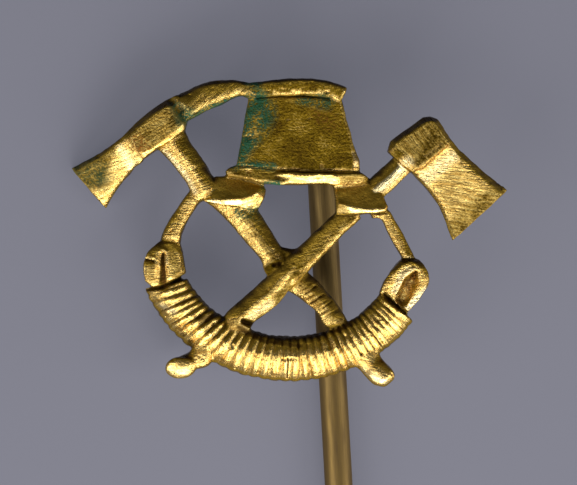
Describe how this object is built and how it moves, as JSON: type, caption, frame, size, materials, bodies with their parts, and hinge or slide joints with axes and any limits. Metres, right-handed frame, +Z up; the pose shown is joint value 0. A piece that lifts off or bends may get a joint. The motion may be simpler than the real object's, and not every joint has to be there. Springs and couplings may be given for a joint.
{
  "type": "firefighters' lapel stick pin",
  "caption": "Pierced cast emblem of a helmet, crossed pick-axe and axe and a ribbed hose, on a long plain wire needle that runs parallel behind it.",
  "frame": {"origin": "on the floor, below the middle of the lying pin's box", "axes": "+Y along the needle from its point to the emblem, +X to the emblem's right as it is read, +Z up from the floor that the pin lies on, face up"},
  "size_m": [0.0179, 0.0528, 0.0048],
  "materials": {
    "emblem": "worn gilt, cast, with tarnish and verdigris",
    "needle": "dull drawn wire"
  },
  "bodies": {
    "root": {"emblem": "emblem", "needle": "needle"}
  },
  "joints": []
}
